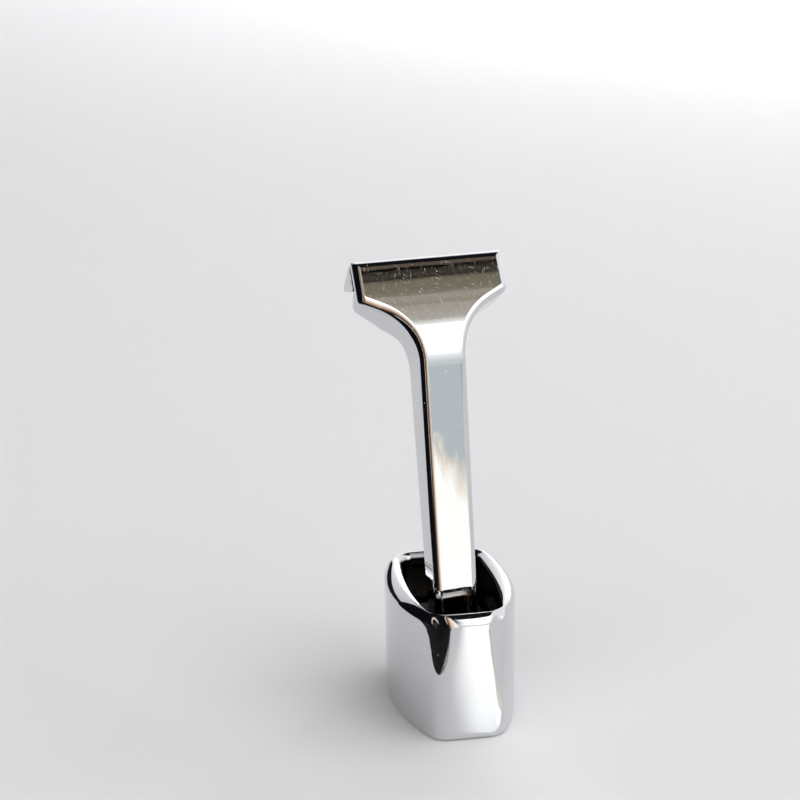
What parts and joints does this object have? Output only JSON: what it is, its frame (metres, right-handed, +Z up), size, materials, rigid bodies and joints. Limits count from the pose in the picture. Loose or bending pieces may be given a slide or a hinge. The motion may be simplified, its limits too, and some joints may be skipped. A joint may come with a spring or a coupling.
{
  "type": "safety razor with stand",
  "caption": "Chrome T-shaped single-edge razor with a sprung pivoting blade cartridge, standing foot-down in a weighted chrome cup.",
  "frame": {"origin": "centre of the stand's underside, on the surface that it stands on", "axes": "+Z up; X along the razor's width; the shield faces -Y and the cartridge +Y"},
  "size_m": [0.044, 0.0536, 0.1306],
  "materials": {
    "chrome_razor": "mirror polished plating with fine wear",
    "chrome_stand": "mirror polished plating",
    "steel_pins": "turned stainless steel",
    "blade_steel": "ground stainless steel",
    "spring_steel": "spring temper, dull",
    "brass": "turned",
    "cast_steel": "as cast",
    "black_polymer": "fine moulded grain",
    "seal_rubber": "smooth",
    "pad_rubber": "matt silicone"
  },
  "bodies": {
    "stand": {"stand_shell": "chrome_stand", "ballast_weight": "cast_steel", "base_plate": "steel_pins", "base_screws": "steel_pins", "base_pad": "pad_rubber", "seat_insert": "black_polymer", "seat_pad": "pad_rubber"},
    "razor": {"handle_body": "chrome_razor", "handle_core": "brass", "foot_plug": "chrome_razor", "foot_seal": "seal_rubber", "pivot_pins": "steel_pins", "return_spring": "spring_steel", "spring_screws": "steel_pins"},
    "cartridge": {"guard_jaw": "chrome_razor", "jaw_hinge_pin": "steel_pins", "clamp_springs": "spring_steel", "blade": "blade_steel", "blade_spine": "blade_steel", "blade_studs": "steel_pins"},
    "cap": {"cap_jaw": "chrome_razor"}
  },
  "joints": [
    {"name": "razor_lift", "type": "slide", "parent": "stand", "child": "razor", "axis": [0, 0.1495, 0.9888], "range_m": [0, 0.03]},
    {"name": "cartridge_pivot", "type": "hinge", "parent": "razor", "child": "cartridge", "pos_m": [-0.0016, 0.01749, 0.12473], "axis": [-1, 0, 0], "range_deg": [0, 25], "stiffness_Nm_per_rad": 0.02, "springref_deg": -20.05, "deforming": ["return_spring"]},
    {"name": "cap_hinge", "type": "hinge", "parent": "cartridge", "child": "cap", "pos_m": [-0.0016, 0.01913, 0.12736], "axis": [1, 0, 0], "range_deg": [0, 40], "stiffness_Nm_per_rad": 0.005, "springref_deg": -28.65}
  ]
}
